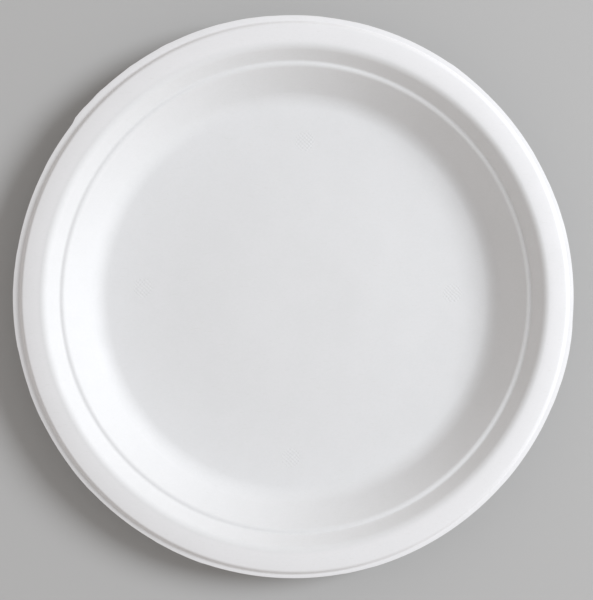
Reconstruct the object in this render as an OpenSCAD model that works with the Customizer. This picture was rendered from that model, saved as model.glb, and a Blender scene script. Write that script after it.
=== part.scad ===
// Round plate pressed from plant fibre pulp, as one sheet of even thickness.
// Half of the food side is drawn as a chain of bends with straight runs between them.
// The underside is the same chain, one sheet thickness lower.
// All lengths are in millimetres, and the plate stands on z = 0 with its axis on Z.

/* [Plate] */
// Diameter over the trimmed edge
plate_d = 228; // [200:1:280]
// Height from the table to the top of the rim
plate_h = 19; // [17:0.5:28]
// Thickness of the pressed sheet
sheet_t = 0.6; // [0.4:0.05:1.2]

/* [Base] */
// Diameter of the level middle of the base
crown_d = 40; // [10:1:70]
// Height of the middle of the base above the ring that the plate stands on
crown_h = 1.3; // [0.2:0.1:2]
// Width of the level ring that the plate stands on
foot_w = 8; // [3:0.5:15]
// Inside radius of the bend from the base up into the wall
base_bend_r = 9.5; // [4:0.5:20]

/* [Wall] */
// Slope of the wall between the base and the stacking ledge, in degrees
wall_slope = 48; // [38:1:65]
// Slope of the wall between the stacking ledge and the rim, in degrees
collar_slope = 50; // [38:1:65]
// Depth of the stacking ledge below the top of the rim
ledge_depth = 5.6; // [4:0.1:8]
// Width of the level part of the stacking ledge
ledge_w = 0.3; // [0.1:0.1:4]
// Inside radius of the two bends beside the stacking ledge
ledge_bend_r = 1.3; // [0.3:0.1:2]

/* [Rim] */
// Inside radius of the bend from the wall over into the rim
crest_bend_r = 3.1; // [1:0.1:5]
// Width of the rim, from its highest circle to its outer shoulder
rim_w = 6.5; // [3:0.1:14]
// Fall of the rim over that width, along one arc that leaves the highest circle level
rim_fall = 0.4; // [0.1:0.1:1]

/* [Lip] */
// Width of the lip outside the drop
lip_w = 2.1; // [1:0.1:6]
// Slope of the lip, down towards the trimmed edge, in degrees
lip_slope = 2; // [0:1:25]
// Height of the drop from the shoulder of the rim to the foot of the lip
lip_drop = 2.3; // [1.5:0.1:4]
// Slope of the drop, in degrees
drop_slope = 60; // [45:1:65]
// Inside radius of the two bends of the drop
drop_bend_r = 1; // [0.3:0.1:1.1]

/* [Hidden] */

// Largest distance between a bend and the chords that draw it
chord_gap = 0.006;
// Widest turn that one chord of a bend may take, in degrees
widest_step = 7.5;
// Chords along the wave of the crown
crown_steps = 14;
$fn = 180;

// Levels of the food side
foot_z = sheet_t;
ledge_z = plate_h - ledge_depth;
shoulder_z = plate_h - rim_fall;
lip_z = shoulder_z - lip_drop;

// A bend that turns down is pressed over the underside, so its food side is one sheet wider.
ledge_over_r = ledge_bend_r + sheet_t;
crest_over_r = crest_bend_r + sheet_t;
drop_over_r = drop_bend_r + sheet_t;

// The arc of the rim touches the shoulder bend from outside, which fixes its radius and the
// slope at which it arrives there.
rim_span = (rim_w * rim_w + rim_fall * rim_fall) / (2 * rim_fall);
rim_over_r = rim_span + drop_over_r;
rim_slope = asin(rim_w / rim_span);

// Distance across the plate between the centres of two opposite bends that a slope joins,
// where rise is the height from one bend's level to the other's
function reach(rise, slope, radii) = rise / tan(slope) + radii * tan(slope / 2);

// Distances of the bends' centres from the axis, from the trimmed edge inwards
plate_r = plate_d / 2;
lip_x = plate_r - lip_w;
shoulder_x = lip_x - reach(lip_drop, drop_slope, drop_bend_r + drop_over_r);
crest_x = shoulder_x - rim_w;
ledge_out_x = crest_x - reach(ledge_depth, collar_slope, ledge_bend_r + crest_over_r);
ledge_in_x = ledge_out_x - ledge_w;
base_x = ledge_in_x - reach(ledge_z - foot_z, wall_slope, ledge_over_r + base_bend_r);
foot_x = base_x - foot_w;

// The bends of the food side, each [distance from the axis, height, radius] of its circle and
// then the slopes of the sheet before and after it. Slopes that climb outwards are above zero,
// and so is the radius of a bend that turns the sheet up.
bends = [
    [base_x, foot_z + base_bend_r, base_bend_r, 0, wall_slope],
    [ledge_in_x, ledge_z - ledge_over_r, -ledge_over_r, wall_slope, 0],
    [ledge_out_x, ledge_z + ledge_bend_r, ledge_bend_r, 0, collar_slope],
    [crest_x, plate_h - crest_over_r, -crest_over_r, collar_slope, 0],
    [crest_x, plate_h - rim_over_r, -rim_over_r, 0, -rim_slope],
    [shoulder_x, shoulder_z - drop_over_r, -drop_over_r, -rim_slope, -drop_slope],
    [lip_x, lip_z + drop_bend_r, drop_bend_r, -drop_slope, -lip_slope],
];

// Chords that a bend needs to stay within chord_gap of its circle
function chords(bend) =
    let (
        turn = abs(bend[4] - bend[3]),
        finest = 2 * acos(1 - chord_gap / abs(bend[2]))
    )
    ceil(turn / min(widest_step, finest));

// Points along a bend, with the sheet's face lowered by depth at right angles to itself
function bend_points(bend, depth) = [
    for (k = [0 : chords(bend)])
        let (
            slope = bend[3] + (bend[4] - bend[3]) * k / chords(bend),
            radius = bend[2] + depth
        )
        [bend[0] + radius * sin(slope), bend[1] - radius * cos(slope)]
];

// Points along the crown: a wave that leaves the level middle and meets the foot level again
function crown_points(depth) = [
    for (k = [0 : crown_steps])
        let (share = k / crown_steps)
        [
            crown_d / 2 + (foot_x - crown_d / 2) * share,
            foot_z + crown_h * (1 + cos(180 * share)) / 2 - depth
        ]
];

// Outer end of the lip, cut off upright at the trimmed edge
function lip_end(from) = [plate_r, from[1] - (plate_r - from[0]) * tan(lip_slope)];

// A chain of points without those that repeat the point before them
function unrepeated(points) = [
    for (i = [0 : len(points) - 1])
        if (i == 0 || norm(points[i] - points[i - 1]) > 0.001) points[i]
];

// One face of the sheet from the axis to the trimmed edge, depth below the food side
function face_points(depth) =
    let (
        inner = concat([[0, foot_z + crown_h - depth]], crown_points(depth)),
        outer = [for (bend = bends) each bend_points(bend, depth)]
    )
    unrepeated(concat(inner, outer, [lip_end(outer[len(outer) - 1])]));

function reversed(points) = [for (i = [len(points) - 1 : -1 : 0]) points[i]];

// Half of the plate's section, on the right of the axis
module section() {
    polygon(concat(face_points(0), reversed(face_points(sheet_t))));
}

module plate() {
    color("whitesmoke")
        rotate_extrude()
            section();
}

plate();
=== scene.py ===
from math import asin, atan2, ceil, cos, degrees, hypot, pi, radians, sin, tan

import bpy
from bpy.props import FloatProperty, FloatVectorProperty, IntProperty, PointerProperty
from bpy.types import Operator, Panel, PropertyGroup
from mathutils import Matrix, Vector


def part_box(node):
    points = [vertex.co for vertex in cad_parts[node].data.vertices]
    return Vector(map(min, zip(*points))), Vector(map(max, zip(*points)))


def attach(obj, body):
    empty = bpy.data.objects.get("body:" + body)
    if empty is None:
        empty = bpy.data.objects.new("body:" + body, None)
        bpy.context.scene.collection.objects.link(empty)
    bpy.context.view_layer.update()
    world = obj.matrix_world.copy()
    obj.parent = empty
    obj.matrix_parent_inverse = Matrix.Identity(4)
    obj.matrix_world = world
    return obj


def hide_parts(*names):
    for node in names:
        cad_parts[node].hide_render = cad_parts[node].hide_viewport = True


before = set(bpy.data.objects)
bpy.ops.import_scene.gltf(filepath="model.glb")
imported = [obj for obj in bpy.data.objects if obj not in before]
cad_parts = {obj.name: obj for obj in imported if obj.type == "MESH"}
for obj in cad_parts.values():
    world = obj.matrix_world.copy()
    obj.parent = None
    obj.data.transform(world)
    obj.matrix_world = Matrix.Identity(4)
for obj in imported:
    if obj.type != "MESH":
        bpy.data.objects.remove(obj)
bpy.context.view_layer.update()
plate_low, plate_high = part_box("plate")

bl_info = {
    "name": "Pressed Fibre Plate",
    "version": (1, 0, 0),
    "blender": (4, 5, 0),
    "location": "View3D > Sidebar > Plate",
    "description": "Models a round pressed-fibre plate over its fixed CAD frame, with a plain stage",
    "category": "Add Mesh",
}

# Metres in a millimetre
MM = 0.001

# Steps and runs of the line that the section is drawn with
LEVEL_STEPS = 5
CROWN_STEPS = 24
WIDEST_TURN = radians(5)
LEAST_TURNS = 3
LONGEST_RUN = 4 * MM
SHORTEST_RUN = 0.002 * MM
# Vertices nearer than this are merged
MERGE_GAP = 0.001 * MM
# A vertex no further inside the edge's radius than this belongs to the outer ring
RING_GAP = 0.05 * MM

# Direction in which the trimming cutter stands off the axis
TRIM_OFF_DIRECTION = radians(140)

# The worn cutter's line wanders. Stretches of the edge where it ran outside or inside its
# ellipse: [from and to in degrees, distance outwards in millimetres]. Where stretches overlap,
# their distances add up.
TRIM_STRETCHES = (
    (16, 52, -0.1), (21, 48, -0.1), (25, 31, -0.08), (55.4, 57.2, 0.1), (78, 84, -0.08),
    (96, 142, 0.12), (100, 142, 0.1), (106, 142, 0.1), (117, 119, 0.12), (125, 127, 0.12),
    (133, 136, 0.14), (138.5, 142, 0.16), (142, 178, -0.08), (143, 174, -0.1),
    (153, 170, -0.12), (190, 243, -0.08), (191, 199, -0.1), (205, 217, -0.1),
    (223, 239, -0.12), (247, 250, 0.1), (279, 355, 0.08), (286, 354, 0.1), (318, 353, 0.08),
    (337, 352, 0.1), (342, 349, 0.1),
)

# The wall's painted shade turns into the rim's painted lighter colour from this far inside the crest
# to a fifth of it outside
PAINTED_SHADE_FADE = 2.5 * MM

# Centres, radii and rib pitch of the four round marks that the mould's vents leave on the base
VENT_MARKS = ((2.6 * MM, 65.1 * MM), (-64.3 * MM, 4.1 * MM), (64.6 * MM, 1.8 * MM),
              (-3.2 * MM, -66.9 * MM))
VENT_INNER = 3.6 * MM
VENT_OUTER = 4.3 * MM
VENT_PITCH = 1.7 * MM

# Pitch of the forming screen's wires, whose print is on the underside
SCREEN_PITCH = 0.95 * MM

# The photo's size, the place of the plate's axis in it, and its scale at a level near the lip's
PHOTO_PX = (593, 600)
AXIS_PX = (298.6, 297.5)
PX_PER_METRE = 2489
SCALE_LEVEL = 17.2 * MM

# Widths of the camera's sensor in millimetres and of the floor in metres
SENSOR_WIDTH = 36
FLOOR_WIDTH = 8

# Strength of the surround where the camera, a gloss or a clear surface sees it
SEEN_SURROUND = 0.9


class PlateSizes(PropertyGroup):
    """Sizes of the pressed sheet, along half of its section"""

    diameter: FloatProperty(
        name="Diameter", description="Diameter over the trimmed edge before it is trimmed unevenly",
        default=2 * min(plate_high.x, plate_high.y, -plate_low.x, -plate_low.y),
        min=0.1, max=0.4, precision=4, subtype="DISTANCE", unit="LENGTH")
    height: FloatProperty(
        name="Height", description="Height from the table to the top of the rim",
        default=plate_high.z, min=0.01, max=0.05, precision=4, subtype="DISTANCE", unit="LENGTH")
    sheet: FloatProperty(
        name="Sheet", description="Thickness of the pressed sheet",
        default=0.6 * MM, min=0.0002, max=0.003, precision=4, subtype="DISTANCE", unit="LENGTH")
    crown_width: FloatProperty(
        name="Crown width", description="Diameter of the level middle of the base",
        default=40 * MM, min=0.005, max=0.1, precision=4, subtype="DISTANCE", unit="LENGTH")
    crown_height: FloatProperty(
        name="Crown height", description="Height of the middle of the base above the foot ring",
        default=1.3 * MM, min=0, max=0.005, precision=4, subtype="DISTANCE", unit="LENGTH")
    foot_width: FloatProperty(
        name="Foot width", description="Width of the level ring that the plate stands on",
        default=8 * MM, min=0.002, max=0.03, precision=4, subtype="DISTANCE", unit="LENGTH")
    base_bend: FloatProperty(
        name="Base bend", description="Inside radius of the bend from the base up into the wall",
        default=9.5 * MM, min=0.002, max=0.03, precision=4, subtype="DISTANCE", unit="LENGTH")
    wall_slope: FloatProperty(
        name="Wall slope", description="Slope of the wall below the stacking ledge",
        default=radians(48), min=radians(20), max=radians(80), subtype="ANGLE", unit="ROTATION")
    collar_slope: FloatProperty(
        name="Collar slope", description="Slope of the wall above the stacking ledge",
        default=radians(50), min=radians(20), max=radians(80), subtype="ANGLE", unit="ROTATION")
    ledge_depth: FloatProperty(
        name="Ledge depth", description="Depth of the stacking ledge below the top of the rim",
        default=5.6 * MM, min=0.002, max=0.01, precision=4, subtype="DISTANCE", unit="LENGTH")
    ledge_width: FloatProperty(
        name="Ledge width", description="Width of the level part of the stacking ledge",
        default=0.3 * MM, min=0.0001, max=0.005, precision=4, subtype="DISTANCE", unit="LENGTH")
    ledge_bend: FloatProperty(
        name="Ledge bend", description="Inside radius of the two bends beside the ledge",
        default=1.3 * MM, min=0.0003, max=0.002, precision=4, subtype="DISTANCE", unit="LENGTH")
    crest_bend: FloatProperty(
        name="Crest bend", description="Inside radius of the bend from the wall over into the rim",
        default=3.1 * MM, min=0.001, max=0.01, precision=4, subtype="DISTANCE", unit="LENGTH")
    rim_width: FloatProperty(
        name="Rim width", description="Width of the rim, from its highest circle to its shoulder",
        default=6.5 * MM, min=0.002, max=0.02, precision=4, subtype="DISTANCE", unit="LENGTH")
    rim_fall: FloatProperty(
        name="Rim fall", description="Fall of the arched rim over its width",
        default=0.4 * MM, min=0.0001, max=0.002, precision=4, subtype="DISTANCE", unit="LENGTH")
    lip_width: FloatProperty(
        name="Lip width", description="Width of the lip outside the drop",
        default=2.1 * MM, min=0.0005, max=0.01, precision=4, subtype="DISTANCE", unit="LENGTH")
    lip_slope: FloatProperty(
        name="Lip slope", description="Slope of the lip down towards the trimmed edge",
        default=radians(2), min=0, max=radians(30), subtype="ANGLE", unit="ROTATION")
    lip_drop: FloatProperty(
        name="Lip drop", description="Height of the drop from the shoulder of the rim to the lip",
        default=2.3 * MM, min=0.001, max=0.006, precision=4, subtype="DISTANCE", unit="LENGTH")
    drop_slope: FloatProperty(
        name="Drop slope", description="Slope of the drop",
        default=radians(60), min=radians(30), max=radians(80), subtype="ANGLE", unit="ROTATION")
    drop_bend: FloatProperty(
        name="Drop bend", description="Inside radius of the two bends of the drop",
        default=1 * MM, min=0.0002, max=0.002, precision=4, subtype="DISTANCE", unit="LENGTH")
    trim_wander: FloatProperty(
        name="Trim wander", description="How strongly the trimmed edge wanders off its ellipse",
        default=1, min=0, max=2)
    squeeze: FloatProperty(
        name="Squeeze", description="Share by which the dried sheet is narrower across X",
        default=0.0045, min=0, max=0.02, precision=4)
    rim_relax: FloatProperty(
        name="Rim relax", description="How far the lip has moved in across X and out across Y",
        default=0.3 * MM, min=0, max=0.002, precision=5, subtype="DISTANCE", unit="LENGTH")
    trim_in: FloatVectorProperty(
        name="Trim in", description="How far inside the lip's edge the cutter ran across X and Y",
        default=(0.31 * MM, 0.69 * MM), min=0, max=0.002, size=2, precision=5, unit="LENGTH")
    trim_offset: FloatProperty(
        name="Trim offset", description="How far the trimming cutter stands off the mould's axis",
        default=0.5 * MM, min=0, max=0.002, precision=5, subtype="DISTANCE", unit="LENGTH")
    edge_round: FloatProperty(
        name="Edge round", description="Rounding of the two corners of the trimmed edge",
        default=0.12 * MM, min=0, max=0.0003, precision=5, subtype="DISTANCE", unit="LENGTH")
    segments: IntProperty(
        name="Segments", description="Steps of the sheet round its axis",
        default=288, min=48, max=720)


class PlateFinish(PropertyGroup):
    """Colours and relief of the pressed fibre"""

    # The rim and lip colour is the fibre's colour painted lighter than the base and wall, as painted
    # light on the top of the plate.
    rim_lit_colour: FloatVectorProperty(
        name="Rim colour", description="Colour of the bleached fibre on the rim and the lip",
        default=(0.862, 0.855, 0.858), min=0, max=1, size=3, subtype="COLOR")
    # The base and wall colour is painted darker than the rim's. This is painted shade for the light
    # that the hollow of the plate gets less of.
    shaded_base_and_wall_colour: FloatVectorProperty(
        name="Pressed colour", description="Colour of the fibre where it is pressed harder, "
        "on the base and the wall",
        default=(0.802, 0.80, 0.80), min=0, max=1, size=3, subtype="COLOR")
    cloud_tint: FloatVectorProperty(
        name="Cloud tint", description="Tint of the slightly darker clouds in the pulp",
        default=(0.982, 0.984, 0.982), min=0, max=1, size=3, subtype="COLOR")
    fleck_colour: FloatVectorProperty(
        name="Fleck colour", description="Colour of the few coarse fibres that show",
        default=(0.70, 0.69, 0.65), min=0, max=1, size=3, subtype="COLOR")
    food_unevenness: FloatProperty(
        name="Food side unevenness", description="Height of the slow waves of the food side",
        default=0.1 * MM, min=0, max=0.001, precision=6, subtype="DISTANCE", unit="LENGTH")
    under_unevenness: FloatProperty(
        name="Underside unevenness", description="Height of the slow waves of the underside",
        default=0.12 * MM, min=0, max=0.001, precision=6, subtype="DISTANCE", unit="LENGTH")
    fuzz_height: FloatProperty(
        name="Fuzz height", description="Height of the torn fibre ends on the cut edge",
        default=0.06 * MM, min=0, max=0.001, precision=6, subtype="DISTANCE", unit="LENGTH")
    grain_height: FloatProperty(
        name="Grain height", description="Height of the fine fibre grain of the food side",
        default=0.012 * MM, min=0, max=0.001, precision=6, subtype="DISTANCE", unit="LENGTH")
    screen_height: FloatProperty(
        name="Screen height", description="Height of the screen print on the underside",
        default=0.03 * MM, min=0, max=0.001, precision=6, subtype="DISTANCE", unit="LENGTH")
    vent_height: FloatProperty(
        name="Vent mark height", description="Height of the dots in the round vent marks",
        default=0.044 * MM, min=0, max=0.001, precision=6, subtype="DISTANCE", unit="LENGTH")


class PlateStage(PropertyGroup):
    """Floor, lights and camera"""

    floor_colour: FloatVectorProperty(
        name="Floor colour", description="Colour of the plain floor",
        default=(0.52, 0.515, 0.505), min=0, max=1, size=3, subtype="COLOR")
    ambient: FloatProperty(
        name="Ambient", description="Strength of the even light from all around",
        default=0.727, min=0, max=2)
    ambient_sides: FloatVectorProperty(
        name="Ambient sides", description="Colour of the even light from the sides",
        default=(1.0, 0.925, 0.865), min=0, max=1, size=3, subtype="COLOR")
    ambient_top: FloatVectorProperty(
        name="Ambient top", description="Colour of the even light from straight above",
        default=(0.483, 0.487, 0.501), min=0, max=1, size=3, subtype="COLOR")
    key_colour: FloatVectorProperty(
        name="Key colour", description="Colour of the large lamp",
        default=(0.91, 0.95, 1.0), min=0, max=1, size=3, subtype="COLOR")
    key_power: FloatProperty(
        name="Key power", description="Power of the large lamp beside the plate",
        default=31.9, min=0, max=500, subtype="POWER", unit="POWER")
    key_azimuth: FloatProperty(
        name="Key azimuth", description="Direction of the lamp, counted from +X towards +Y",
        default=radians(14.5), min=-pi, max=pi, subtype="ANGLE", unit="ROTATION")
    key_elevation: FloatProperty(
        name="Key elevation", description="Height of the lamp above the floor, as an angle",
        default=radians(38), min=0, max=pi / 2, subtype="ANGLE", unit="ROTATION")
    key_distance: FloatProperty(
        name="Key distance", description="Distance of the lamp from the plate",
        default=2.0, min=0.3, max=10, subtype="DISTANCE", unit="LENGTH")
    key_size: FloatProperty(
        name="Key size", description="Width of the lamp",
        default=0.85, min=0.05, max=5, subtype="DISTANCE", unit="LENGTH")
    camera_turn: FloatProperty(
        name="Camera turn", description="Turn of the camera from straight down, towards +X",
        default=radians(3.63), min=0, max=radians(30), subtype="ANGLE", unit="ROTATION")
    camera_distance: FloatProperty(
        name="Camera distance", description="Height of the camera above the scale's level",
        default=0.45, min=0.2, max=5, subtype="DISTANCE", unit="LENGTH")


# The section of the sheet

def reach(rise, slope, radii):
    """Distance across the plate between the centres of two opposite bends that a slope joins"""
    return rise / tan(slope) + radii * tan(slope / 2)


def food_side(sizes):
    """The food side's half section, from the axis to the trimmed edge, as (distance, height)"""
    sheet = sizes.sheet
    ledge_level = sizes.height - sizes.ledge_depth
    shoulder_level = sizes.height - sizes.rim_fall
    lip_level = shoulder_level - sizes.lip_drop
    ledge_over = sizes.ledge_bend + sheet
    crest_over = sizes.crest_bend + sheet
    drop_over = sizes.drop_bend + sheet
    rim_span = (sizes.rim_width ** 2 + sizes.rim_fall ** 2) / (2 * sizes.rim_fall)
    rim_over = rim_span + drop_over
    rim_slope = asin(sizes.rim_width / rim_span)

    edge_x = sizes.diameter / 2
    lip_x = edge_x - sizes.lip_width
    shoulder_x = lip_x - reach(sizes.lip_drop, sizes.drop_slope, sizes.drop_bend + drop_over)
    crest_x = shoulder_x - sizes.rim_width
    ledge_out_x = crest_x - reach(sizes.ledge_depth, sizes.collar_slope,
                                  sizes.ledge_bend + crest_over)
    ledge_in_x = ledge_out_x - sizes.ledge_width
    base_x = ledge_in_x - reach(ledge_level - sheet, sizes.wall_slope,
                                ledge_over + sizes.base_bend)
    foot_x = base_x - sizes.foot_width

    # The middle of the base is level, then a slow wave runs down to the foot ring.
    crown_x = sizes.crown_width / 2
    points = [(crown_x * step / LEVEL_STEPS, sheet + sizes.crown_height)
              for step in range(LEVEL_STEPS + 1)]
    for step in range(1, CROWN_STEPS + 1):
        share = step / CROWN_STEPS
        points.append((crown_x + (foot_x - crown_x) * share,
                       sheet + sizes.crown_height * (1 + cos(pi * share)) / 2))
    # Each bend: centre, signed radius, slope before it and slope after it.
    bends = (
        (base_x, sheet + sizes.base_bend, sizes.base_bend, 0, sizes.wall_slope),
        (ledge_in_x, ledge_level - ledge_over, -ledge_over, sizes.wall_slope, 0),
        (ledge_out_x, ledge_level + sizes.ledge_bend, sizes.ledge_bend, 0, sizes.collar_slope),
        (crest_x, sizes.height - crest_over, -crest_over, sizes.collar_slope, 0),
        (crest_x, sizes.height - rim_over, -rim_over, 0, -rim_slope),
        (shoulder_x, shoulder_level - drop_over, -drop_over, -rim_slope, -sizes.drop_slope),
        (lip_x, lip_level + sizes.drop_bend, sizes.drop_bend, -sizes.drop_slope,
         -sizes.lip_slope),
    )
    for x, z, radius, before, after in bends:
        steps = max(LEAST_TURNS, ceil(abs(after - before) / WIDEST_TURN))
        for step in range(steps + 1):
            slope = before + (after - before) * step / steps
            points.append((x + radius * sin(slope), z - radius * cos(slope)))
    last_x, last_z = points[-1]
    points.append((edge_x, last_z - (edge_x - last_x) * tan(sizes.lip_slope)))
    return long_runs_divided(points)


def long_runs_divided(points):
    """The same line without repeated points, its long straight runs divided"""
    line = [points[0]]
    for x, z in points[1:]:
        x0, z0 = line[-1]
        run = hypot(x - x0, z - z0)
        if run < SHORTEST_RUN:
            continue
        parts = ceil(run / LONGEST_RUN)
        line += [(x0 + (x - x0) * i / parts, z0 + (z - z0) * i / parts)
                 for i in range(1, parts + 1)]
    return line


# Modelling helpers

def all_deselected():
    """Leaves edit mode and deselects every object"""
    if bpy.context.object and bpy.context.object.mode != "OBJECT":
        bpy.ops.object.mode_set(mode="OBJECT")
    bpy.ops.object.select_all(action="DESELECT")


def apply_modifiers(piece):
    """Applies the piece's modifiers in their order"""
    all_deselected()
    piece.select_set(True)
    bpy.context.view_layer.objects.active = piece
    for modifier in list(piece.modifiers):
        bpy.ops.object.modifier_apply(modifier=modifier.name)


def draw_line(name, points):
    """A new object, left in edit mode, whose mesh is a line extruded from point to point"""
    all_deselected()
    bpy.ops.mesh.primitive_plane_add(size=0.01)
    piece = bpy.context.object
    piece.name = piece.data.name = name
    bpy.ops.object.mode_set(mode="EDIT")
    bpy.ops.mesh.select_all(action="SELECT")
    bpy.ops.mesh.merge(type="CENTER")
    bpy.ops.transform.translate(value=(points[0][0], 0, points[0][1]))
    for (x0, z0), (x, z) in zip(points, points[1:]):
        bpy.ops.mesh.extrude_vertices_move(
            TRANSFORM_OT_translate={"value": (x - x0, 0, z - z0)})
    return piece


def spin_to_sheet(piece, segments):
    """Spins the line once round the axis, closes its seam and its pole and faces it upwards"""
    bpy.ops.mesh.select_all(action="SELECT")
    bpy.ops.mesh.spin(steps=segments, angle=2 * pi, center=(0, 0, 0), axis=(0, 0, 1))
    bpy.ops.mesh.select_all(action="SELECT")
    bpy.ops.mesh.remove_doubles(threshold=MERGE_GAP)
    bpy.ops.object.mode_set(mode="OBJECT")
    upwards = sum(face.normal.z * face.area for face in piece.data.polygons)
    if upwards < 0:
        bpy.ops.object.mode_set(mode="EDIT")
        bpy.ops.mesh.select_all(action="SELECT")
        bpy.ops.mesh.flip_normals()
        bpy.ops.object.mode_set(mode="OBJECT")


def select_only(piece, chosen):
    """Selects only the vertices with these numbers, in object mode"""
    for elements in (piece.data.vertices, piece.data.edges, piece.data.polygons):
        for element in elements:
            element.select = False
    for index in chosen:
        piece.data.vertices[index].select = True


def resize_across(x, y, **falloff):
    """Resizes what is selected in edit mode by these factors, about the plate's axis"""
    bpy.ops.transform.resize(value=(x, y, 1), center_override=(0, 0, 0), **falloff)


def relax_rim(piece, sizes):
    """Moves the lip in across X and out across Y with the rim following, then narrows it all"""
    edge_x = sizes.diameter / 2
    lip_x = edge_x - sizes.lip_width
    select_only(piece, [v.index for v in piece.data.vertices
                        if hypot(v.co.x, v.co.y) > lip_x - sizes.drop_bend])
    bpy.ops.object.mode_set(mode="EDIT")
    bpy.ops.mesh.select_mode(type="VERT")
    share = sizes.rim_relax / edge_x
    resize_across(
        1 - share, 1 + share, use_proportional_edit=True, use_proportional_connected=True,
        proportional_edit_falloff="SMOOTH", proportional_size=sizes.rim_width)
    bpy.ops.mesh.select_all(action="SELECT")
    resize_across(1 - sizes.squeeze, 1)
    bpy.ops.object.mode_set(mode="OBJECT")


def trim_edge(piece, sizes):
    """Moves the outer ring off the axis, and stretches of it outwards or inwards"""
    edge_x = sizes.diameter / 2
    vertices = piece.data.vertices
    ring = [v.index for v in vertices if hypot(v.co.x, v.co.y) > edge_x - RING_GAP]
    relax_rim(piece, sizes)
    select_only(piece, ring)
    bpy.ops.object.mode_set(mode="EDIT")
    resize_across(1 - sizes.trim_in[0] / edge_x, 1 - sizes.trim_in[1] / edge_x)
    bpy.ops.transform.translate(value=(sizes.trim_offset * cos(TRIM_OFF_DIRECTION),
                                       sizes.trim_offset * sin(TRIM_OFF_DIRECTION), 0))
    bpy.ops.object.mode_set(mode="OBJECT")
    # Edit mode has replaced the vertices.
    vertices = piece.data.vertices
    around = {index: degrees(atan2(vertices[index].co.y, vertices[index].co.x)) % 360
              for index in ring}
    for first, last, outwards in TRIM_STRETCHES:
        select_only(piece, [index for index in ring if first < around[index] < last])
        scale = 1 + sizes.trim_wander * outwards * MM / edge_x
        bpy.ops.object.mode_set(mode="EDIT")
        resize_across(scale, scale)
        bpy.ops.object.mode_set(mode="OBJECT")


# Materials

def new_material(name):
    """An empty node material, its tree, its shader and the object coordinates"""
    material = bpy.data.materials.new(name)
    material.use_nodes = True
    tree = material.node_tree
    shader = tree.nodes["Principled BSDF"]
    shader.location = (700, 0)
    tree.nodes["Material Output"].location = (1000, 0)
    place = tree.nodes.new("ShaderNodeTexCoord")
    place.location = (-1500, 0)
    return material, tree, shader, place.outputs["Object"]


def set_input(tree, socket, value):
    """Links a socket to the value, or sets the value on it"""
    if isinstance(value, bpy.types.NodeSocket):
        tree.links.new(value, socket)
    elif value is not None:
        socket.default_value = value


def math_node(tree, operation, first, second=None, third=None):
    """One calculation with up to three values or sockets"""
    node = tree.nodes.new("ShaderNodeMath")
    node.operation = operation
    for socket, value in zip(node.inputs, (first, second, third)):
        set_input(tree, socket, value)
    return node.outputs[0]


def noise_node(tree, place, pitch, detail=2.0, roughness=0.5, stretch=None, turn=0.0):
    """Noise whose features are about pitch across, stretched and turned if asked"""
    if stretch:
        mapping = tree.nodes.new("ShaderNodeMapping")
        mapping.inputs["Rotation"].default_value = (0, 0, turn)
        mapping.inputs["Scale"].default_value = stretch
        tree.links.new(place, mapping.inputs["Vector"])
        place = mapping.outputs["Vector"]
    node = tree.nodes.new("ShaderNodeTexNoise")
    tree.links.new(place, node.inputs["Vector"])
    node.inputs["Scale"].default_value = 1 / pitch
    node.inputs["Detail"].default_value = detail
    node.inputs["Roughness"].default_value = roughness
    return node.outputs["Fac"]


def ramp(tree, value, low, high, out_low=0.0, out_high=1.0):
    """The value's range from low to high, spread smoothly over another range"""
    node = tree.nodes.new("ShaderNodeMapRange")
    node.interpolation_type = "SMOOTHSTEP"
    for name, number in (("From Min", low), ("From Max", high), ("To Min", out_low),
                         ("To Max", out_high)):
        node.inputs[name].default_value = number
    tree.links.new(value, node.inputs["Value"])
    return node.outputs["Result"]


def mix_colour(tree, share, first, second, blend="MIX"):
    """The first colour with the share of the second mixed into it, or multiplied onto it"""
    node = tree.nodes.new("ShaderNodeMix")
    node.data_type = "RGBA"
    node.blend_type = blend
    set_input(tree, node.inputs[0], share)
    for socket, value in ((node.inputs[6], first), (node.inputs[7], second)):
        if not isinstance(value, bpy.types.NodeSocket):
            value = (*value, 1)
        set_input(tree, socket, value)
    return node.outputs[2]


def relief(tree, height, metres, below=None):
    """A bump of that height in metres, on top of the relief below it"""
    node = tree.nodes.new("ShaderNodeBump")
    node.inputs["Strength"].default_value = 1
    node.inputs["Distance"].default_value = metres
    tree.links.new(height, node.inputs["Height"])
    if below:
        tree.links.new(below, node.inputs["Normal"])
    return node.outputs["Normal"]


def coarse_fibres(tree, place):
    """Thin streaks in three directions, as the few coarse fibres in the pulp lie"""
    streaks = []
    for turn, pitch in ((0.3, 3.1 * MM), (1.4, 2.6 * MM), (2.5, 3.6 * MM)):
        noise = noise_node(tree, place, pitch, detail=1, roughness=0.4, stretch=(1, 11, 4),
                           turn=turn)
        streaks.append(ramp(tree, noise, 0.70, 0.78))
    most = math_node(tree, "MAXIMUM", streaks[0], streaks[1])
    return math_node(tree, "MAXIMUM", most, streaks[2])


def rim_light_share(tree, place, sizes):
    """The share of the rim's painted light, which runs from none on the shaded wall to all on top of
    the crest
    """
    flat = tree.nodes.new("ShaderNodeVectorMath")
    flat.operation = "MULTIPLY"
    flat.inputs[1].default_value = (1, 1, 0)
    tree.links.new(place, flat.inputs[0])
    across = tree.nodes.new("ShaderNodeVectorMath")
    across.operation = "LENGTH"
    tree.links.new(flat.outputs[0], across.inputs[0])
    crest = sizes.diameter / 2 - sizes.lip_width - sizes.rim_width - 2 * sizes.drop_bend
    return ramp(tree, across.outputs["Value"], crest - PAINTED_SHADE_FADE, crest + PAINTED_SHADE_FADE / 5)


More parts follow.
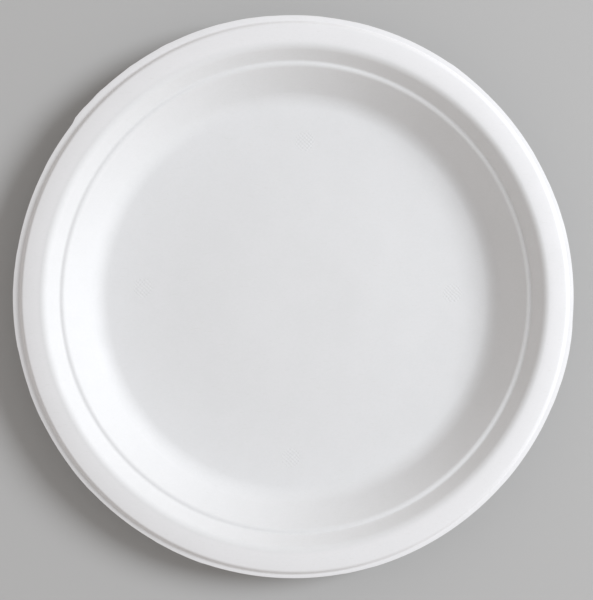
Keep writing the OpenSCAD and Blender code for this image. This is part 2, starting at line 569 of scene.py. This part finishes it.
def pulp_colour(tree, place, context, fleck_share):
    """The colour of bleached pulp with clouds, a mottle and coarse fibres, with the base and wall
    painted darker than the rim as painted shade; and the clouds
    """
    finish = context.scene.plate_finish
    clouds = noise_node(tree, place, 14 * MM, detail=3, roughness=0.55)
    mottle = noise_node(tree, place, 1.1 * MM, detail=3, roughness=0.6)
    share = math_node(tree, "MULTIPLY_ADD", clouds, 0.5, math_node(tree, "MULTIPLY", mottle, 0.5))
    # Painted shade: the base and wall get a darker colour than the rim and lip, which are painted
    # lighter.
    colour = mix_colour(tree, rim_light_share(tree, place, context.scene.plate_sizes),
                        tuple(finish.shaded_base_and_wall_colour), tuple(finish.rim_lit_colour))
    colour = mix_colour(tree, ramp(tree, share, 0.38, 0.62), colour, tuple(finish.cloud_tint),
                        "MULTIPLY")
    flecks = math_node(tree, "MULTIPLY", coarse_fibres(tree, place), fleck_share)
    return mix_colour(tree, flecks, colour, tuple(finish.fleck_colour)), clouds


def fine_grain(tree, place):
    """Short crossing fibres of the pressed surface, as a height"""
    one = noise_node(tree, place, 0.5 * MM, roughness=0.6, stretch=(1, 2.6, 1), turn=0.6)
    two = noise_node(tree, place, 0.5 * MM, roughness=0.6, stretch=(2.6, 1, 1), turn=1.1)
    return math_node(tree, "ADD", one, two)


def x_and_y(tree, place):
    """The X and Y of a place"""
    split = tree.nodes.new("ShaderNodeSeparateXYZ")
    tree.links.new(place, split.inputs[0])
    return split.outputs[0], split.outputs[1]


def vent_marks(tree, place):
    """The dots in the round marks, where two rows of ribs cross, as a height"""
    x, y = x_and_y(tree, place)
    marks = None
    for centre_x, centre_y in VENT_MARKS:
        dx = math_node(tree, "SUBTRACT", x, centre_x)
        dy = math_node(tree, "SUBTRACT", y, centre_y)
        far = math_node(tree, "SQRT", math_node(tree, "ADD", math_node(tree, "MULTIPLY", dx, dx),
                                                math_node(tree, "MULTIPLY", dy, dy)))
        mark = ramp(tree, far, VENT_INNER, VENT_OUTER, 1.0, 0.0)
        marks = mark if marks is None else math_node(tree, "MAXIMUM", marks, mark)
    # The lamp brings out the second row's ribs more, so they are lower.
    ribs = []
    for operation, drift_pitch, height in (("SUBTRACT", 2.5 * MM, 0.62), ("ADD", 3.1 * MM, -0.4)):
        drift = math_node(tree, "MULTIPLY", noise_node(tree, place, drift_pitch), 6)
        phase = math_node(tree, "MULTIPLY_ADD", math_node(tree, operation, x, y),
                          2 * pi / VENT_PITCH, drift)
        ribs.append(math_node(tree, "MULTIPLY", math_node(tree, "COSINE", phase), height))
    dots = math_node(tree, "ADD", ribs[0], ribs[1])
    depth = ramp(tree, noise_node(tree, place, 1.6 * MM), 0.35, 0.6, 0.75, 1.15)
    return math_node(tree, "MULTIPLY", math_node(tree, "MULTIPLY", marks, depth), dots)


def screen_print(tree, place):
    """The print of the woven forming screen, as a height"""
    waves = [math_node(tree, "SINE", math_node(tree, "MULTIPLY", way, 2 * pi / SCREEN_PITCH))
             for way in x_and_y(tree, place)]
    return math_node(tree, "MULTIPLY", waves[0], waves[1])


def food_side_material(context):
    """The side pressed by the polished half of the mould: smooth, with a soft sheen"""
    material, tree, shader, place = new_material("pressed_fibre_food_side")
    colour, clouds = pulp_colour(tree, place, context, 0.25)
    tree.links.new(colour, shader.inputs["Base Color"])
    tree.links.new(ramp(tree, clouds, 0.3, 0.7, 0.52, 0.64), shader.inputs["Roughness"])
    shader.inputs["Specular IOR Level"].default_value = 0.35
    finish = context.scene.plate_finish
    unevenness = noise_node(tree, place, 16 * MM, detail=1, roughness=0.4)
    normal = relief(tree, unevenness, finish.food_unevenness)
    normal = relief(tree, fine_grain(tree, place), finish.grain_height, normal)
    normal = relief(tree, vent_marks(tree, place), finish.vent_height, normal)
    tree.links.new(normal, shader.inputs["Normal"])
    return material


def underside_material(context):
    """The side that was drawn onto the screen: rougher, with the screen's print"""
    material, tree, shader, place = new_material("pressed_fibre_underside")
    colour, clouds = pulp_colour(tree, place, context, 0.4)
    tree.links.new(colour, shader.inputs["Base Color"])
    tree.links.new(ramp(tree, clouds, 0.3, 0.7, 0.70, 0.82), shader.inputs["Roughness"])
    shader.inputs["Specular IOR Level"].default_value = 0.25
    finish = context.scene.plate_finish
    normal = relief(tree, noise_node(tree, place, 9 * MM), finish.under_unevenness)
    normal = relief(tree, screen_print(tree, place), finish.screen_height / 2, normal)
    normal = relief(tree, fine_grain(tree, place), 2 * finish.grain_height, normal)
    tree.links.new(normal, shader.inputs["Normal"])
    return material


def cut_edge_material(context):
    """The trimmed edge: torn fibre ends, a little darker and quite rough"""
    material, tree, shader, place = new_material("pressed_fibre_cut_edge")
    fuzz = noise_node(tree, place, 0.25 * MM, detail=3, roughness=0.7)
    finish = context.scene.plate_finish
    colour = mix_colour(tree, ramp(tree, fuzz, 0.35, 0.7, 0.0, 0.6), tuple(finish.rim_lit_colour),
                        tuple(finish.fleck_colour))
    tree.links.new(colour, shader.inputs["Base Color"])
    shader.inputs["Roughness"].default_value = 0.85
    shader.inputs["Specular IOR Level"].default_value = 0.2
    tree.links.new(relief(tree, fuzz, finish.fuzz_height), shader.inputs["Normal"])
    return material


# Operators

class PLATE_OT_press_sheet(Operator):
    """Models the plate as one pressed sheet, trims its edge and gives it its fibre finish"""

    bl_idname = "mesh.press_plate_sheet"
    bl_label = "Press Plate"
    bl_options = {"REGISTER", "UNDO"}

    def execute(self, context):
        sizes = context.scene.plate_sizes
        piece = draw_line("pressed_plate", food_side(sizes))
        spin_to_sheet(piece, sizes.segments)
        trim_edge(piece, sizes)

        for material in (food_side_material(context), underside_material(context),
                         cut_edge_material(context)):
            piece.data.materials.append(material)
        sheet = piece.modifiers.new("sheet", "SOLIDIFY")
        sheet.thickness = sizes.sheet
        sheet.offset = -1
        sheet.use_even_offset = True
        sheet.use_quality_normals = True
        sheet.material_offset = 1
        sheet.material_offset_rim = 2
        corners = piece.modifiers.new("edge_round", "BEVEL")
        corners.width = sizes.edge_round
        corners.segments = 2
        corners.limit_method = "ANGLE"
        corners.angle_limit = radians(50)
        apply_modifiers(piece)
        bpy.ops.object.shade_smooth_by_angle(angle=radians(35))

        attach(piece, "root")
        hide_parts("plate")
        return {"FINISHED"}


class PLATE_OT_set_stage(Operator):
    """Adds the plain floor, the large soft lamp, the even light and the camera"""

    bl_idname = "scene.set_plate_stage"
    bl_label = "Set Stage"
    bl_options = {"REGISTER", "UNDO"}

    def execute(self, context):
        stage = context.scene.plate_stage
        all_deselected()
        bpy.ops.mesh.primitive_plane_add(size=FLOOR_WIDTH)
        floor = context.object
        floor.name = floor.data.name = "floor"
        material, _, shader, _ = new_material("plain_floor")
        shader.inputs["Base Color"].default_value = (*stage.floor_colour, 1)
        shader.inputs["Roughness"].default_value = 0.9
        shader.inputs["Specular IOR Level"].default_value = 0.1
        floor.data.materials.append(material)

        across = cos(stage.key_elevation) * stage.key_distance
        bpy.ops.object.light_add(
            type="AREA", location=(across * cos(stage.key_azimuth), across * sin(stage.key_azimuth),
                                   sin(stage.key_elevation) * stage.key_distance))
        lamp = context.object
        lamp.name = lamp.data.name = "key_lamp"
        lamp.data.shape = "DISK"
        lamp.data.size = stage.key_size
        lamp.data.energy = stage.key_power
        lamp.data.color = stage.key_colour
        lamp.rotation_euler = (0, pi / 2 - stage.key_elevation, stage.key_azimuth)

        self.light_evenly(context.scene, stage)
        self.place_camera(context, stage)
        context.scene.view_settings.view_transform = "Standard"
        return {"FINISHED"}

    def light_evenly(self, scene, stage):
        """A surround that lights the plate evenly and shows as a pale background"""
        world = bpy.data.worlds.new("even_light")
        world.use_nodes = True
        scene.world = world
        tree = world.node_tree
        background = tree.nodes["Background"]
        path = tree.nodes.new("ShaderNodeLightPath")
        seen = math_node(tree, "MAXIMUM", path.outputs["Is Camera Ray"],
                         math_node(tree, "MAXIMUM", path.outputs["Is Glossy Ray"],
                                   path.outputs["Is Transmission Ray"]))
        direction = tree.nodes.new("ShaderNodeTexCoord").outputs["Generated"]
        split = tree.nodes.new("ShaderNodeSeparateXYZ")
        tree.links.new(direction, split.inputs[0])
        # Less of the light comes from straight above than from the sides.
        upwards = math_node(tree, "MAXIMUM", split.outputs[2], 0)
        colour = mix_colour(tree, upwards, tuple(stage.ambient_sides), tuple(stage.ambient_top))
        colour = mix_colour(tree, seen, colour, (1, 1, 1))
        tree.links.new(colour, background.inputs["Color"])
        shown = math_node(tree, "MULTIPLY_ADD", seen, SEEN_SURROUND - stage.ambient,
                          stage.ambient)
        tree.links.new(shown, background.inputs["Strength"])

    def place_camera(self, context, stage):
        """Straight above the plate, turned and cropped as the photo is"""
        width_px, height_px = PHOTO_PX
        bpy.ops.object.camera_add(location=(0, 0, SCALE_LEVEL + stage.camera_distance),
                                  rotation=(0, -stage.camera_turn, 0))
        camera = context.object
        camera.name = camera.data.name = "photo_camera"
        camera.data.sensor_fit = "HORIZONTAL"
        camera.data.sensor_width = SENSOR_WIDTH
        # The turn makes the plate's -X side larger and moves its axis left of the picture's
        # middle. The shift puts the axis back where the photo has it.
        lens_px = PX_PER_METRE * stage.camera_distance * cos(stage.camera_turn) ** 2
        axis_right_px = -lens_px * tan(stage.camera_turn)
        camera.data.lens = SENSOR_WIDTH * lens_px / width_px
        camera.data.shift_x = (axis_right_px - (AXIS_PX[0] - width_px / 2)) / width_px
        camera.data.shift_y = -(height_px / 2 - AXIS_PX[1]) / width_px
        camera.data.clip_start = 0.01
        camera.data.clip_end = 50
        context.scene.camera = camera


class PLATE_PT_builder(Panel):
    """Lists the plate's operators with their sizes and colours"""

    bl_label = "Pressed Fibre Plate"
    bl_idname = "PLATE_PT_builder"
    bl_space_type = "VIEW_3D"
    bl_region_type = "UI"
    bl_category = "Plate"

    def draw(self, context):
        scene = context.scene
        for operator, settings in ((PLATE_OT_press_sheet, (scene.plate_sizes, scene.plate_finish)),
                                   (PLATE_OT_set_stage, (scene.plate_stage,))):
            box = self.layout.box()
            box.operator(operator.bl_idname)
            for group in settings:
                for name in group.__annotations__:
                    box.prop(group, name)


CLASSES = (PlateSizes, PlateFinish, PlateStage, PLATE_OT_press_sheet, PLATE_OT_set_stage,
           PLATE_PT_builder)


def register():
    for cls in CLASSES:
        bpy.utils.register_class(cls)
    bpy.types.Scene.plate_sizes = PointerProperty(type=PlateSizes)
    bpy.types.Scene.plate_finish = PointerProperty(type=PlateFinish)
    bpy.types.Scene.plate_stage = PointerProperty(type=PlateStage)


def unregister():
    del bpy.types.Scene.plate_stage
    del bpy.types.Scene.plate_finish
    del bpy.types.Scene.plate_sizes
    for cls in reversed(CLASSES):
        bpy.utils.unregister_class(cls)


def main():
    """Registers the classes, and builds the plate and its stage"""
    register()
    bpy.ops.mesh.press_plate_sheet()
    bpy.ops.scene.set_plate_stage()


if __name__ == "__main__":
    main()
